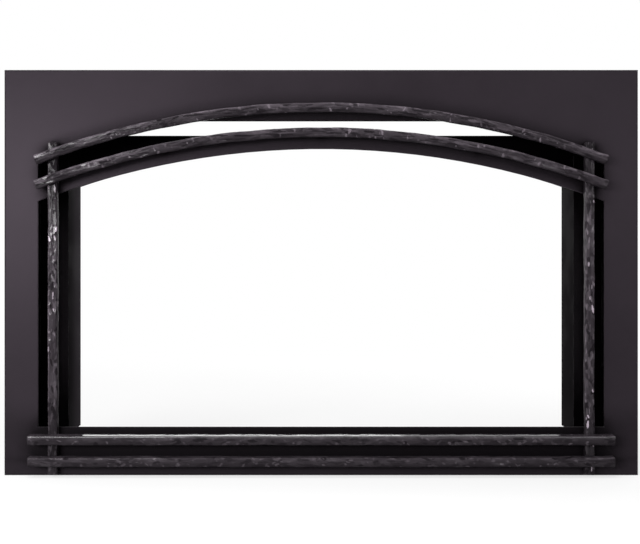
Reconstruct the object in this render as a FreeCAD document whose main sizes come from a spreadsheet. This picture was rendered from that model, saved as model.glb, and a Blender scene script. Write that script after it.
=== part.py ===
import FreeCAD, Part
import Sketcher
import math
import os

# Driving dimensions in millimetres
SIZES = (
    ("panel_width", 1016.0, "overall width of the surround panel"),
    ("panel_height", 650.0, "overall height of the surround panel"),
    ("panel_sheet", 2.0, "thickness of the panel sheet"),
    ("tray_depth", 50.0, "panel front to wall plane, depth of the side and top returns"),
    ("bottom_return", 20.0, "depth of the short return along the bottom edge"),
    ("bend_round", 3.5, "outer radius of the folds around the panel"),
    ("edge_round", 1.2, "rounding on the front edges of the cut openings"),
    ("border_width", 55.0, "plain border between panel side and openings"),
    ("opening_bottom", 78.0, "height of the main opening's lower edge"),
    ("arch_radius", 1267.0, "bend radius of both arch rails and of the opening's crown"),
    ("crown_drop", 63.9, "panel top down to the upper arch's centre line at the crown"),
    ("arch_pitch", 39.5, "upper arch down to lower arch, centre lines"),
    ("band_drop", 23.7, "lower arch's centre line down to the opening's crown"),
    ("flat_drop", 18.9, "upper arch's centre line at the crown down to the slot's flat top"),
    ("slot_cover", 1.5, "how far an arch hides the slot edge behind it"),
    ("bar_side", 13.5, "side of the square forged bar"),
    ("bar_edge", 2.2, "softened long edges of the forged bar"),
    ("arch_tail", 24.2, "arch rail end beyond the post's centre line"),
    ("rail_tail", 36.0, "sill rail end beyond the post's centre line"),
    ("upper_rail_height", 61.0, "centre line of the upper sill rail"),
    ("lower_rail_height", 26.5, "centre line of the lower sill rail"),
    ("post_inset", 26.0, "opening's side in to the post's centre line"),
    ("post_foot", 3.3, "post's lower end above the hearth"),
    ("post_rise", 20.7, "post top above the upper arch's centre line at the post"),
    ("post_stud_drop", 8.0, "post top down to its own stud"),
    ("standoff_diameter", 10.0, "outside diameter of the standoff tubes"),
    ("standoff_offset", 250.0, "arch standoffs either side of the middle"),
    ("stud_diameter", 5.0, "diameter of the rail studs"),
    ("stud_bite", 9.0, "length of a stud inside its bar"),
    ("stud_show", 2.0, "length of a stud beyond its nut"),
    ("hole_clearance", 0.25, "radial clearance of drilled holes around studs, pins and rivets"),
    ("nut_width", 8.0, "nut across flats"),
    ("nut_height", 4.0, "nut height"),
    ("washer_diameter", 10.0, "washer outside diameter"),
    ("washer_sheet", 1.0, "washer thickness"),
    ("frame_sheet", 2.0, "thickness of the recessed frame's sheet"),
    ("window_inset", 35.5, "panel opening's side in to the window reveal"),
    ("reveal_depth", 77.0, "wall plane back to the rear of the window reveal"),
    ("reveal_lap", 12.0, "window reveal's rise behind the lintel"),
    ("rear_flange", 50.0, "width of the jamb's rear flange"),
    ("jamb_gap", 6.0, "jamb wing to the inside of the panel's side return"),
    ("hood_rise", 28.9, "hood top above the upper arch's crown"),
    ("outlet_rise", 5.0, "air outlet's lower edge above the lower arch's crown"),
    ("outlet_height", 28.5, "height of the air outlet between lintel and hood"),
    ("lintel_cover", 14.0, "lintel's arched lower edge above the panel's opening"),
    ("plate_flange", 40.0, "wall plane back to the rear of the cross plates' flanges"),
    ("sill_height", 60.0, "height of the sill's top above the hearth"),
    ("base_depth", 77.0, "wall plane back to the rear of the sill's base flange"),
    ("plate_lap", 58.0, "cross plates run this far past the window reveal"),
    ("rivet_inset", 15.0, "edge of a plate or bracket in to its rivets"),
    ("lintel_rivet_drop", 10.0, "lintel's top down to its rivets"),
    ("bolt_inset", 26.5, "window reveal out to the insert bolts"),
    ("lower_bolt_height", 72.0, "height of the lower insert bolts"),
    ("upper_bolt_drop", 26.26, "reveal's top down to the upper insert bolts"),
    ("bolt_hole", 6.6, "diameter of the insert bolt holes"),
    ("access_hole", 16.0, "diameter of the driver access holes in front of the bolts"),
    ("lift_travel", 25.0, "lift that frees the face from its brackets"),
    ("upper_pin_drop", 190.0, "panel top down to the upper hanger pins"),
    ("lower_pin_height", 190.0, "height of the lower hanger pins"),
    ("pin_setback", 22.0, "wall plane forward to the hanger pins"),
    ("pin_neck", 8.0, "diameter of a pin where it hangs"),
    ("pin_head", 14.0, "diameter of a pin's shoulder and cap"),
    ("pin_tail", 6.0, "diameter of a pin's riveted tail"),
    ("pin_shoulder", 12.0, "length of a pin's shoulder"),
    ("pin_cap", 2.0, "thickness of a pin's cap"),
    ("pin_clearance", 0.3, "clearance between a pin's neck and its slot"),
    ("side_clearance", 2.0, "side clearance between a pin's heads and the bracket"),
    ("bracket_sheet", 2.0, "thickness of the hanger brackets"),
    ("bracket_leg", 28.0, "width of a bracket's rear leg"),
    ("bracket_depth", 38.0, "forward reach of a bracket's slotted leg"),
    ("bracket_margin", 12.0, "bracket end beyond its slots"),
    ("rivet_diameter", 4.0, "rivet shank diameter"),
    ("rivet_head", 7.5, "rivet head diameter"),
    ("rivet_crown", 1.6, "rivet head height"),
    ("rivet_tail", 6.0, "set end diameter of a rivet"),
    ("rivet_set", 1.5, "set end height of a rivet"),
)

ROUND_OFF = 1e-4
ALONG_Y = FreeCAD.Vector(0, 1, 0)
HEX_SIDES = 6

doc = FreeCAD.newDocument("fireplace_insert_front")
dims = doc.addObject("Spreadsheet::Sheet", "dims")
for row, (alias, number, meaning) in enumerate(SIZES, start=1):
    dims.set(f"A{row}", meaning)
    dims.set(f"B{row}", str(number))
    dims.setAlias(f"B{row}", alias)
doc.recompute()

# Derived sizes, as expressions on the driving cells
HALF_PANEL = "(dims.panel_width / 2)"
OPENING = "(dims.panel_width / 2 - dims.border_width)"
PANEL_FRONT = "(-dims.tray_depth)"
PANEL_BACK = "(dims.panel_sheet - dims.tray_depth)"
POST_FRONT = "(-dims.tray_depth - dims.bar_side)"
HALF_BAR = "(dims.bar_side / 2)"
UPPER_CROWN = "(dims.panel_height - dims.crown_drop)"
LOWER_CROWN = f"({UPPER_CROWN} - dims.arch_pitch)"
UPPER_CENTRE = f"({UPPER_CROWN} - dims.arch_radius)"
LOWER_CENTRE = f"({LOWER_CROWN} - dims.arch_radius)"
OPENING_CENTRE = f"({LOWER_CENTRE} - dims.band_drop)"
POST_X = f"({OPENING} - dims.post_inset)"
RISE_AT_POST = f"sqrt(dims.arch_radius ^ 2 - {POST_X} ^ 2)"
RISE_AT_STANDOFF = "sqrt(dims.arch_radius ^ 2 - dims.standoff_offset ^ 2)"
UPPER_CROSSING = f"({UPPER_CENTRE} + {RISE_AT_POST})"
LOWER_CROSSING = f"({LOWER_CENTRE} + {RISE_AT_POST})"
POST_TOP = f"({UPPER_CROSSING} + dims.post_rise)"
POST_STUD = f"({POST_TOP} - dims.post_stud_drop)"
SLOT_EDGE = f"(dims.arch_radius + {HALF_BAR} - dims.slot_cover)"
SLOT_FLAT = f"sqrt({SLOT_EDGE} ^ 2 - (dims.arch_radius - dims.flat_drop) ^ 2)"
STUD_HOLE = "(dims.stud_diameter + 2 * dims.hole_clearance)"
RIVET_HOLE = "(dims.rivet_diameter + 2 * dims.hole_clearance)"
TAIL_HOLE = "(dims.pin_tail + 2 * dims.hole_clearance)"
PIN_Y = "(-dims.pin_setback)"
TRAY_INSIDE = f"({HALF_PANEL} - dims.panel_sheet)"
WINDOW = f"({OPENING} - dims.window_inset)"
JAMB_OUTER = f"({TRAY_INSIDE} - dims.jamb_gap)"
PLATE_END = f"({WINDOW} + dims.plate_lap)"
PLATE_FRONT = "(dims.frame_sheet)"
PLATE_BACK = "(2 * dims.frame_sheet)"
HOOD_TOP = f"({UPPER_CROWN} + dims.hood_rise)"
OUTLET_BOTTOM = f"({LOWER_CROWN} + dims.outlet_rise)"
HOOD_BOTTOM = f"({OUTLET_BOTTOM} + dims.outlet_height)"
LINTEL_ARCH = "(dims.arch_radius + dims.lintel_cover)"
REVEAL_INNER = f"({WINDOW} + dims.frame_sheet)"
REVEAL_TOP = f"({OPENING_CENTRE} + sqrt({LINTEL_ARCH} ^ 2 - {REVEAL_INNER} ^ 2))"
BOLT_X = f"({WINDOW} + dims.bolt_inset)"
BOLT_HEIGHTS = ("dims.lower_bolt_height", f"({REVEAL_TOP} - dims.upper_bolt_drop)")
UPPER_PIN = "(dims.panel_height - dims.upper_pin_drop)"
BRACKET_OUTER = f"({TRAY_INSIDE} - dims.pin_shoulder - dims.side_clearance)"
BRACKET_INNER = f"({BRACKET_OUTER} - dims.bracket_leg)"
BRACKET_BOTTOM = "(dims.lower_pin_height - dims.pin_neck - dims.bracket_margin)"
BRACKET_TOP = f"({UPPER_PIN} + dims.lift_travel + dims.pin_neck + dims.bracket_margin)"
BRACKET_RIVET_X = f"({BRACKET_OUTER} - dims.bracket_sheet - dims.rivet_head)"
RIVET_X = f"({BRACKET_INNER} - dims.rivet_head)"
BRACKET_FRONT = "(-dims.bracket_sheet - dims.bracket_depth)"
SLOT_HALF = "(dims.pin_neck / 2 + dims.pin_clearance)"
PIN_HEIGHTS = ("dims.lower_pin_height", UPPER_PIN)
SIDES = (("left", -1), ("right", 1))


def size(expression):
    """Number of an expression on the driving cells."""
    return float(dims.evalExpression(expression))


def signed(side, expression):
    """Expression mirrored to the given side."""
    return f"({side} * {expression})"


def plane(body, role):
    """Origin plane or axis of a body, found by its role."""
    return next(item for item in body.Origin.OriginFeatures if item.Role == role)


def new_body(label, x=None, y=None, z=None):
    """Body whose place is bound to the driving cells."""
    body = doc.addObject("PartDesign::Body", label)
    for axis, expression in (("x", x), ("y", y), ("z", z)):
        if expression:
            body.setExpression(f"Placement.Base.{axis}", expression)
    return body


def new_sketch(body, role, name, offset=None):
    """Sketch on one of the body's own planes, moved along its normal by offset."""
    sketch = body.newObject("Sketcher::SketchObject", name)
    sketch.AttachmentSupport = (plane(body, role), [""])
    sketch.MapMode = "FlatFace"
    if offset:
        sketch.setExpression("AttachmentOffset.Base.z", offset)
    return sketch


def bind(sketch, kind, *arguments):
    """Add a dimension to a sketch and bind it to the last argument, an expression."""
    expression = arguments[-1]
    index = sketch.addConstraint(Sketcher.Constraint(kind, *arguments[:-1], size(expression)))
    sketch.setExpression(f"Constraints[{index}]", expression)


def pin_point(sketch, item, end, x, y=None):
    """Bind a point of a sketch to its distances from the sketch's origin."""
    bind(sketch, "DistanceX", -1, 1, item, end, x)
    if y:
        bind(sketch, "DistanceY", -1, 1, item, end, y)


def outline(sketch, corners, arcs=None):
    """Closed outline of lines, and of arcs given by corner number as centre and radius.

    A corner on an arc gives its distance sideways only.
    """
    arcs = arcs or {}
    count = len(corners)
    points = []
    for number, (x, y) in enumerate(corners):
        if y is None:
            centre_x, centre_y, radius = arcs.get(number) or arcs[(number - 1) % count]
            across = size(x) - size(centre_x)
            height = size(centre_y) + math.sqrt(size(radius) ** 2 - across ** 2)
        else:
            height = size(y)
        points.append(FreeCAD.Vector(size(x), height, 0))
    items = []
    for number in range(count):
        first, last = points[number], points[(number + 1) % count]
        if number in arcs:
            centre_x, centre_y, radius = arcs[number]
            centre = FreeCAD.Vector(size(centre_x), size(centre_y), 0)
            turns = [math.atan2(point.y - centre.y, point.x - centre.x) for point in (first, last)]
            circle = Part.Circle(centre, FreeCAD.Vector(0, 0, 1), size(radius))
            item = sketch.addGeometry(Part.ArcOfCircle(circle, min(turns), max(turns)))
            items.append((item, 1, 2) if turns[0] < turns[1] else (item, 2, 1))
        else:
            items.append((sketch.addGeometry(Part.LineSegment(first, last)), 1, 2))
    for number, (item, start, end) in enumerate(items):
        following = items[(number + 1) % count]
        sketch.addConstraint(Sketcher.Constraint("Coincident", item, end, following[0], following[1]))
    for number, (item, start, end) in enumerate(items):
        pin_point(sketch, item, start, *corners[number])
        if number in arcs:
            centre_x, centre_y, radius = arcs[number]
            pin_point(sketch, item, 3, centre_x, centre_y)
            bind(sketch, "Radius", item, radius)


def rectangle(sketch, left, right, bottom, top):
    """Closed rectangle."""
    outline(sketch, ((left, bottom), (right, bottom), (right, top), (left, top)))


def circle(sketch, x, y, diameter):
    """Full circle."""
    centre = FreeCAD.Vector(size(x), size(y), 0)
    item = sketch.addGeometry(Part.Circle(centre, FreeCAD.Vector(0, 0, 1), size(diameter) / 2))
    pin_point(sketch, item, 3, x, y)
    bind(sketch, "Diameter", item, diameter)


def bar_section(sketch, left, right, bottom, top):
    """Square bar section with softened corners."""
    edge = "dims.bar_edge"
    outline(sketch, (
        (f"{left} + {edge}", bottom), (f"{right} - {edge}", bottom),
        (right, f"{bottom} + {edge}"), (right, f"{top} - {edge}"),
        (f"{right} - {edge}", top), (f"{left} + {edge}", top),
        (left, f"{top} - {edge}"), (left, f"{bottom} + {edge}"),
    ))


def pad(body, sketch, name, length, reverse=False, both=False):
    """Pad of a sketch."""
    feature = body.newObject("PartDesign::Pad", name)
    feature.Profile = sketch
    feature.setExpression("Length", length)
    feature.Reversed = reverse
    if both:
        feature.SideType = "Symmetric"
    doc.recompute()
    return feature


def pocket(body, sketch, name, length, reverse=False, both=False):
    """Pocket of a sketch that has to take material away."""
    before = body.Shape.Volume
    feature = body.newObject("PartDesign::Pocket", name)
    feature.Profile = sketch
    feature.setExpression("Length", length)
    feature.Reversed = reverse
    if both:
        feature.SideType = "Symmetric"
    doc.recompute()
    if body.Shape.Volume > before - ROUND_OFF:
        raise RuntimeError(f"{body.Label}: {name} removes nothing")
    return feature


def round_edges(body, base, name, radius, wanted):
    """Fillet on the edges of a feature that the given test picks."""
    names = [f"Edge{number}" for number, edge in enumerate(base.Shape.Edges, start=1) if wanted(edge)]
    feature = body.newObject("PartDesign::Fillet", name)
    feature.Base = (base, names)
    feature.setExpression("Radius", radius)
    doc.recompute()
    return feature


def in_plane_y(edge, level):
    """Whether both ends of an edge lie at the given depth."""
    return all(abs(vertex.Point.y - level) < ROUND_OFF for vertex in edge.Vertexes)


# Places of the studs, each as side to side distance and height
CROSSINGS = [
    (signed(side, POST_X), height)
    for name, side in SIDES
    for height in (UPPER_CROSSING, LOWER_CROSSING, "dims.upper_rail_height", "dims.lower_rail_height")
]
POST_TOPS = [(signed(side, POST_X), POST_STUD) for name, side in SIDES]
STANDOFFS = [
    ("0", LOWER_CROWN),
    (signed(-1, "dims.standoff_offset"), f"({LOWER_CENTRE} + {RISE_AT_STANDOFF})"),
    (signed(1, "dims.standoff_offset"), f"({LOWER_CENTRE} + {RISE_AT_STANDOFF})"),
    ("0", "dims.upper_rail_height"),
    ("0", "dims.lower_rail_height"),
]


def behind_slot(place):
    """Whether a stud ends in the arched slot, with no sheet behind its post."""
    return place[1] == UPPER_CROSSING


def surround_panel():
    """Folded panel with arched slot, main opening and stud holes."""
    body = new_body("surround_panel")
    sketch = new_sketch(body, "XZ_Plane", "panel_outline")
    rectangle(sketch, signed(-1, HALF_PANEL), HALF_PANEL, "0", "dims.panel_height")
    block = pad(body, sketch, "panel_block", "dims.tray_depth")
    front = size(PANEL_FRONT)
    round_edges(body, block, "panel_folds", "dims.bend_round", lambda edge: in_plane_y(edge, front))

    sketch = new_sketch(body, "XZ_Plane", "tray_inside")
    rectangle(sketch, signed(-1, TRAY_INSIDE), TRAY_INSIDE,
              "dims.panel_sheet", "dims.panel_height - dims.panel_sheet")
    pocket(body, sketch, "tray_hollow", "dims.tray_depth - dims.panel_sheet", reverse=True)
    sketch = new_sketch(body, "XZ_Plane", "bottom_end")
    rectangle(sketch, signed(-1, TRAY_INSIDE), TRAY_INSIDE, "0", "dims.panel_sheet")
    pocket(body, sketch, "bottom_cut", "dims.tray_depth - dims.bottom_return", reverse=True)

    left, right = signed(-1, OPENING), OPENING
    sketch = new_sketch(body, "XZ_Plane", "opening_edges")
    bottom = "dims.opening_bottom"
    outline(sketch, ((left, bottom), (right, bottom), (right, None), (left, None)),
            {2: ("0", OPENING_CENTRE, "dims.arch_radius")})
    upper_edge = ("0", UPPER_CENTRE, SLOT_EDGE)
    slot_corners = (left, right, right, SLOT_FLAT, signed(-1, SLOT_FLAT), left)
    outline(sketch, [(x, None) for x in slot_corners],
            {0: ("0", LOWER_CENTRE, SLOT_EDGE), 2: upper_edge, 4: upper_edge})
    openings = pocket(body, sketch, "openings", "dims.tray_depth", reverse=True)
    reach = size(OPENING) + ROUND_OFF
    round_edges(body, openings, "opening_lips", "dims.edge_round",
                lambda edge: in_plane_y(edge, front) and max(abs(v.X) for v in edge.Vertexes) < reach)

    sketch = new_sketch(body, "XZ_Plane", "stud_places")
    for place in CROSSINGS + POST_TOPS + STANDOFFS:
        if not behind_slot(place):
            circle(sketch, *place, STUD_HOLE)
    pocket(body, sketch, "stud_holes", "dims.tray_depth", reverse=True)
    sketch = new_sketch(body, "YZ_Plane", "pin_places")
    for height in PIN_HEIGHTS:
        circle(sketch, PIN_Y, height, TAIL_HOLE)
    pocket(body, sketch, "pin_holes", "dims.panel_width", both=True)
    return body


def arch_rail(label, centre, with_standoffs):
    """Forged bar bent to the arch, drilled at the back for its studs."""
    body = new_body(label, y=POST_FRONT, z=centre)
    sketch = new_sketch(body, "YZ_Plane", "bar_section")
    bar_section(sketch, "-dims.bar_side", "0",
                f"dims.arch_radius - {HALF_BAR}", f"dims.arch_radius + {HALF_BAR}")
    bend = body.newObject("PartDesign::Revolution", "bend")
    bend.Profile = sketch
    bend.ReferenceAxis = (plane(body, "Y_Axis"), [""])
    bend.setExpression("Angle", f"2 * asin(({POST_X} + dims.arch_tail) / dims.arch_radius)")
    bend.Midplane = True
    doc.recompute()
    sketch = new_sketch(body, "XZ_Plane", "stud_places")
    for name, side in SIDES:
        circle(sketch, signed(side, POST_X), RISE_AT_POST, STUD_HOLE)
        if with_standoffs:
            circle(sketch, signed(side, "dims.standoff_offset"), RISE_AT_STANDOFF, STUD_HOLE)
    if with_standoffs:
        circle(sketch, "0", "dims.arch_radius", STUD_HOLE)
    pocket(body, sketch, "stud_holes", "dims.stud_bite", reverse=True)
    return body


def sill_rail(label, height):
    """Straight forged bar across both posts, drilled at the back for its studs."""
    body = new_body(label, y=POST_FRONT, z=height)
    sketch = new_sketch(body, "YZ_Plane", "bar_section")
    bar_section(sketch, "-dims.bar_side", "0", f"-{HALF_BAR}", HALF_BAR)
    pad(body, sketch, "bar", f"2 * ({POST_X} + dims.rail_tail)", both=True)
    sketch = new_sketch(body, "XZ_Plane", "stud_places")
    for x in (signed(-1, POST_X), "0", POST_X):
        circle(sketch, x, "0", STUD_HOLE)
    pocket(body, sketch, "stud_holes", "dims.stud_bite", reverse=True)
    return body


def post(label, side):
    """Upright forged bar on the panel's front, drilled through where the rails cross it."""
    body = new_body(label, x=signed(side, POST_X), y=PANEL_FRONT)
    sketch = new_sketch(body, "XY_Plane", "bar_section", offset="dims.post_foot")
    bar_section(sketch, f"-{HALF_BAR}", HALF_BAR, "-dims.bar_side", "0")
    pad(body, sketch, "bar", f"{POST_TOP} - dims.post_foot")
    sketch = new_sketch(body, "XZ_Plane", "crossing_places")
    for x, height in CROSSINGS[:len(CROSSINGS) // len(SIDES)]:
        circle(sketch, "0", height, STUD_HOLE)
    pocket(body, sketch, "crossing_holes", "dims.bar_side", reverse=True)
    sketch = new_sketch(body, "XZ_Plane", "top_place")
    circle(sketch, "0", POST_STUD, STUD_HOLE)
    pocket(body, sketch, "top_hole", "dims.stud_bite", reverse=True)
    return body


def jamb(label, side):
    """Recessed jamb: front wing, reveal that rises behind the lintel, rear flange with bolt holes."""
    body = new_body(label)
    sketch = new_sketch(body, "XZ_Plane", "wing_outline")
    inner, outer = sorted((signed(side, WINDOW), signed(side, JAMB_OUTER)), key=size)
    rectangle(sketch, inner, outer, "0", HOOD_TOP)
    pad(body, sketch, "wing", "dims.frame_sheet", reverse=True)
    far = f"({WINDOW} + dims.rear_flange)"
    flange = "(dims.reveal_depth - dims.frame_sheet)"
    for name, front, bottom, length in (
        ("reveal", PLATE_FRONT, "dims.sill_height", f"{REVEAL_TOP} - dims.sill_height"),
        ("reveal_head", PLATE_BACK, REVEAL_TOP, "dims.reveal_lap"),
    ):
        sketch = new_sketch(body, "XY_Plane", f"{name}_section", offset=bottom)
        outline(sketch, (
            (signed(side, WINDOW), front), (signed(side, REVEAL_INNER), front),
            (signed(side, REVEAL_INNER), flange), (signed(side, far), flange),
            (signed(side, far), "dims.reveal_depth"), (signed(side, WINDOW), "dims.reveal_depth"),
        ))
        pad(body, sketch, name, length)
    sketch = new_sketch(body, "XZ_Plane", "bolt_places")
    for height in BOLT_HEIGHTS:
        circle(sketch, signed(side, BOLT_X), height, "dims.bolt_hole")
    pocket(body, sketch, "bolt_holes", "dims.reveal_depth")
    sketch = new_sketch(body, "XZ_Plane", "access_places")
    for height in BOLT_HEIGHTS:
        circle(sketch, signed(side, BOLT_X), height, "dims.access_hole")
    pocket(body, sketch, "access_holes", "dims.frame_sheet")
    sketch = new_sketch(body, "XZ_Plane", "rivet_places")
    for x, height in FRAME_RIVETS + BRACKET_RIVETS:
        if side * size(x) > 0:
            circle(sketch, x, height, RIVET_HOLE)
    pocket(body, sketch, "rivet_holes", "dims.frame_sheet")
    return body


def rivet_holes(body, heights):
    """Rivet holes through a cross plate, at both sides."""
    sketch = new_sketch(body, "XZ_Plane", "rivet_places")
    for name, side in SIDES:
        for height in heights:
            circle(sketch, signed(side, RIVET_X), height, RIVET_HOLE)
    pocket(body, sketch, "rivet_holes", PLATE_BACK)


def cross_plate(label, bottom, top, rivets, flanges):
    """Plate across the recess behind both jamb wings, with flanges folded to the rear."""
    body = new_body(label)
    left, right = signed(-1, PLATE_END), PLATE_END
    sketch = new_sketch(body, "XZ_Plane", "face_outline", offset=f"-{PLATE_FRONT}")
    rectangle(sketch, left, right, bottom, top)
    pad(body, sketch, "face", "dims.frame_sheet", reverse=True)
    for name, low, high, depth in flanges:
        sketch = new_sketch(body, "XZ_Plane", f"{name}_outline", offset=f"-{PLATE_BACK}")
        rectangle(sketch, left, right, low, high)
        pad(body, sketch, name, f"{depth} - {PLATE_BACK}", reverse=True)
    rivet_holes(body, rivets)
    return body


def arched_lintel(label, rivets):
    """Lintel with a straight top and an arched lower edge, flanged to the rear along the arch."""
    body = new_body(label)
    left, right = signed(-1, PLATE_END), PLATE_END
    lower = ("0", OPENING_CENTRE, LINTEL_ARCH)
    sketch = new_sketch(body, "XZ_Plane", "face_outline", offset=f"-{PLATE_FRONT}")
    outline(sketch, ((left, None), (right, None), (right, OUTLET_BOTTOM), (left, OUTLET_BOTTOM)),
            {0: lower})
    pad(body, sketch, "face", "dims.frame_sheet", reverse=True)
    left, right = signed(-1, WINDOW), WINDOW
    upper = ("0", OPENING_CENTRE, f"({LINTEL_ARCH} + dims.frame_sheet)")
    sketch = new_sketch(body, "XZ_Plane", "flange_outline", offset=f"-{PLATE_BACK}")
    outline(sketch, [(x, None) for x in (left, right, right, left)], {0: lower, 2: upper})
    pad(body, sketch, "flange", f"dims.plate_flange - {PLATE_BACK}", reverse=True)
    rivet_holes(body, rivets)
    return body


def hanger_bracket(label, side):
    """Angle on the jamb wing whose forward leg has hook slots for the hanger pins."""
    body = new_body(label)
    sketch = new_sketch(body, "XY_Plane", "angle_section", offset=BRACKET_BOTTOM)
    web = f"({BRACKET_OUTER} - dims.bracket_sheet)"
    outline(sketch, (
        (signed(side, BRACKET_INNER), "0"), (signed(side, BRACKET_INNER), "-dims.bracket_sheet"),
        (signed(side, web), "-dims.bracket_sheet"), (signed(side, web), BRACKET_FRONT),
        (signed(side, BRACKET_OUTER), BRACKET_FRONT), (signed(side, BRACKET_OUTER), "0"),
    ))
    pad(body, sketch, "angle", f"{BRACKET_TOP} - {BRACKET_BOTTOM}")
    sketch = new_sketch(body, "YZ_Plane", "hook_slots")
    for height in PIN_HEIGHTS:
        low = f"({height} - {SLOT_HALF})"
        high = f"({height} + dims.lift_travel + {SLOT_HALF})"
        entry = f"({height} + dims.lift_travel - {SLOT_HALF})"
        mouth = f"({BRACKET_FRONT} - dims.bracket_sheet)"
        outline(sketch, (
            (f"{PIN_Y} - {SLOT_HALF}", low), (f"{PIN_Y} + {SLOT_HALF}", low),
            (f"{PIN_Y} + {SLOT_HALF}", high), (mouth, high),
            (mouth, entry), (f"{PIN_Y} - {SLOT_HALF}", entry),
        ))
    pocket(body, sketch, "slots", "dims.panel_width", both=True)
    sketch = new_sketch(body, "XZ_Plane", "rivet_places")
    for x, height in BRACKET_RIVETS:
        if side * size(x) > 0:
            circle(sketch, x, height, RIVET_HOLE)
    pocket(body, sketch, "rivet_holes", "dims.bracket_sheet", reverse=True)
    return body


def primitive(kind, name, **bound):
    """Part primitive whose sizes are bound to the driving cells."""
    item = doc.addObject(f"Part::{kind}", name)
    for key, expression in bound.items():
        item.setExpression(key, expression)
    return item


def boolean(kind, name, base, tool):
    """Boolean of two objects."""
    item = doc.addObject(f"Part::{kind}", name)
    item.Base = base
    item.Tool = tool
    doc.recompute()
    return item


def turned(name, *steps):
    """Stack of cylinders along Z, each given as diameter, start and end."""
    whole = None
    for number, (diameter, start, end) in enumerate(steps):
        step = primitive("Cylinder", f"{name}_step_{number}", Radius=f"{diameter} / 2",
                         Height=f"({end}) - ({start})")
        step.setExpression("Placement.Base.z", start)
        whole = boolean("Fuse", f"{name}_{number}", whole, step) if whole else step
    doc.recompute()
    return whole


def bored(name, outer, diameter, height):
    """Object with a round hole through it along Z."""
    bore = primitive("Cylinder", f"{name}_bore", Radius=f"{diameter} / 2", Height=height)
    return boolean("Cut", name, outer, bore)


def group(label, pattern, places, direction=ALONG_Y):
    """Node with one copy of a pattern piece at each place, its Z turned to the direction."""
    turn = FreeCAD.Rotation(FreeCAD.Vector(0, 0, 1), direction)
    copies = []
    for x, y, z in places:
        copy = pattern.Shape.copy()
        copy.Placement = FreeCAD.Placement(FreeCAD.Vector(size(x), size(y), size(z)), turn)
        copies.append(copy)
    node = doc.addObject("Part::Feature", label)
    node.Shape = Part.makeCompound(copies)
    return node


# Places of the rivets, each as side to side distance and height
SILL_RIVETS = ("dims.rivet_inset", "dims.sill_height - dims.rivet_inset")
LINTEL_RIVETS = (f"({OUTLET_BOTTOM} - dims.lintel_rivet_drop)",)
HOOD_RIVETS = (f"(({HOOD_BOTTOM} + {HOOD_TOP}) / 2)",)
FRAME_RIVETS = [
    (signed(side, RIVET_X), height)
    for name, side in SIDES
    for height in SILL_RIVETS + LINTEL_RIVETS + HOOD_RIVETS
]
BRACKET_RIVETS = [
    (signed(side, BRACKET_RIVET_X), height)
    for name, side in SIDES
    for height in (
        f"({BRACKET_BOTTOM} + dims.rivet_inset)",
        f"(({BRACKET_BOTTOM} + {BRACKET_TOP}) / 2)",
        f"({BRACKET_TOP} - dims.rivet_inset)",
    )
]

nodes = [surround_panel()]
nodes.append(arch_rail("upper_arch_rail", UPPER_CENTRE, with_standoffs=False))
nodes.append(arch_rail("lower_arch_rail", LOWER_CENTRE, with_standoffs=True))
nodes.append(sill_rail("upper_sill_rail", "dims.upper_rail_height"))
nodes.append(sill_rail("lower_sill_rail", "dims.lower_rail_height"))
for name, side in SIDES:
    nodes.append(post(f"{name}_post", side))
    nodes.append(jamb(f"{name}_jamb", side))
    nodes.append(hanger_bracket(f"{name}_hanger_bracket", side))
nodes.append(cross_plate("hood", HOOD_BOTTOM, HOOD_TOP, HOOD_RIVETS, (
    ("top_flange", f"{HOOD_TOP} - dims.frame_sheet", HOOD_TOP, "dims.plate_flange"),)))
nodes.append(arched_lintel("lintel", LINTEL_RIVETS))
nodes.append(cross_plate("sill", "0", "dims.sill_height", SILL_RIVETS, (
    ("base_flange", "0", "dims.frame_sheet", "dims.base_depth"),
    ("top_flange", "dims.sill_height - dims.frame_sheet", "dims.sill_height", "dims.plate_flange"),
)))

# Studs start inside their bar and run back through post or standoff, sheet, washer and nut
STACK = "(dims.washer_sheet + dims.nut_height + dims.stud_show)"
rail_stud_start = f"({POST_FRONT} - dims.stud_bite)"
rail_stud_length = f"(dims.stud_bite + dims.bar_side + dims.panel_sheet + {STACK})"
slot_stud_length = f"(dims.stud_bite + dims.bar_side + {STACK})"
post_stud_start = f"({PANEL_FRONT} - dims.stud_bite)"
post_stud_length = f"(dims.stud_bite + dims.panel_sheet + {STACK})"
stud_radius = "dims.stud_diameter / 2"
rail_stud = primitive("Cylinder", "rail_stud", Radius=stud_radius, Height=rail_stud_length)
slot_stud = primitive("Cylinder", "slot_stud", Radius=stud_radius, Height=slot_stud_length)
post_stud = primitive("Cylinder", "post_stud", Radius=stud_radius, Height=post_stud_length)
washer = bored("washer", primitive("Cylinder", "washer_disc", Radius="dims.washer_diameter / 2",
                                   Height="dims.washer_sheet"), STUD_HOLE, "dims.washer_sheet")
nut_block = primitive("Prism", "nut_block", Circumradius="dims.nut_width / 2 / cos(30 deg)",
                      Height="dims.nut_height")
nut_block.Polygon = HEX_SIDES
nut = bored("nut", nut_block, STUD_HOLE, "dims.nut_height")
standoff = bored("standoff", primitive("Cylinder", "standoff_tube", Radius="dims.standoff_diameter / 2",
                                       Height="dims.bar_side"), STUD_HOLE, "dims.bar_side")
doc.recompute()

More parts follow.
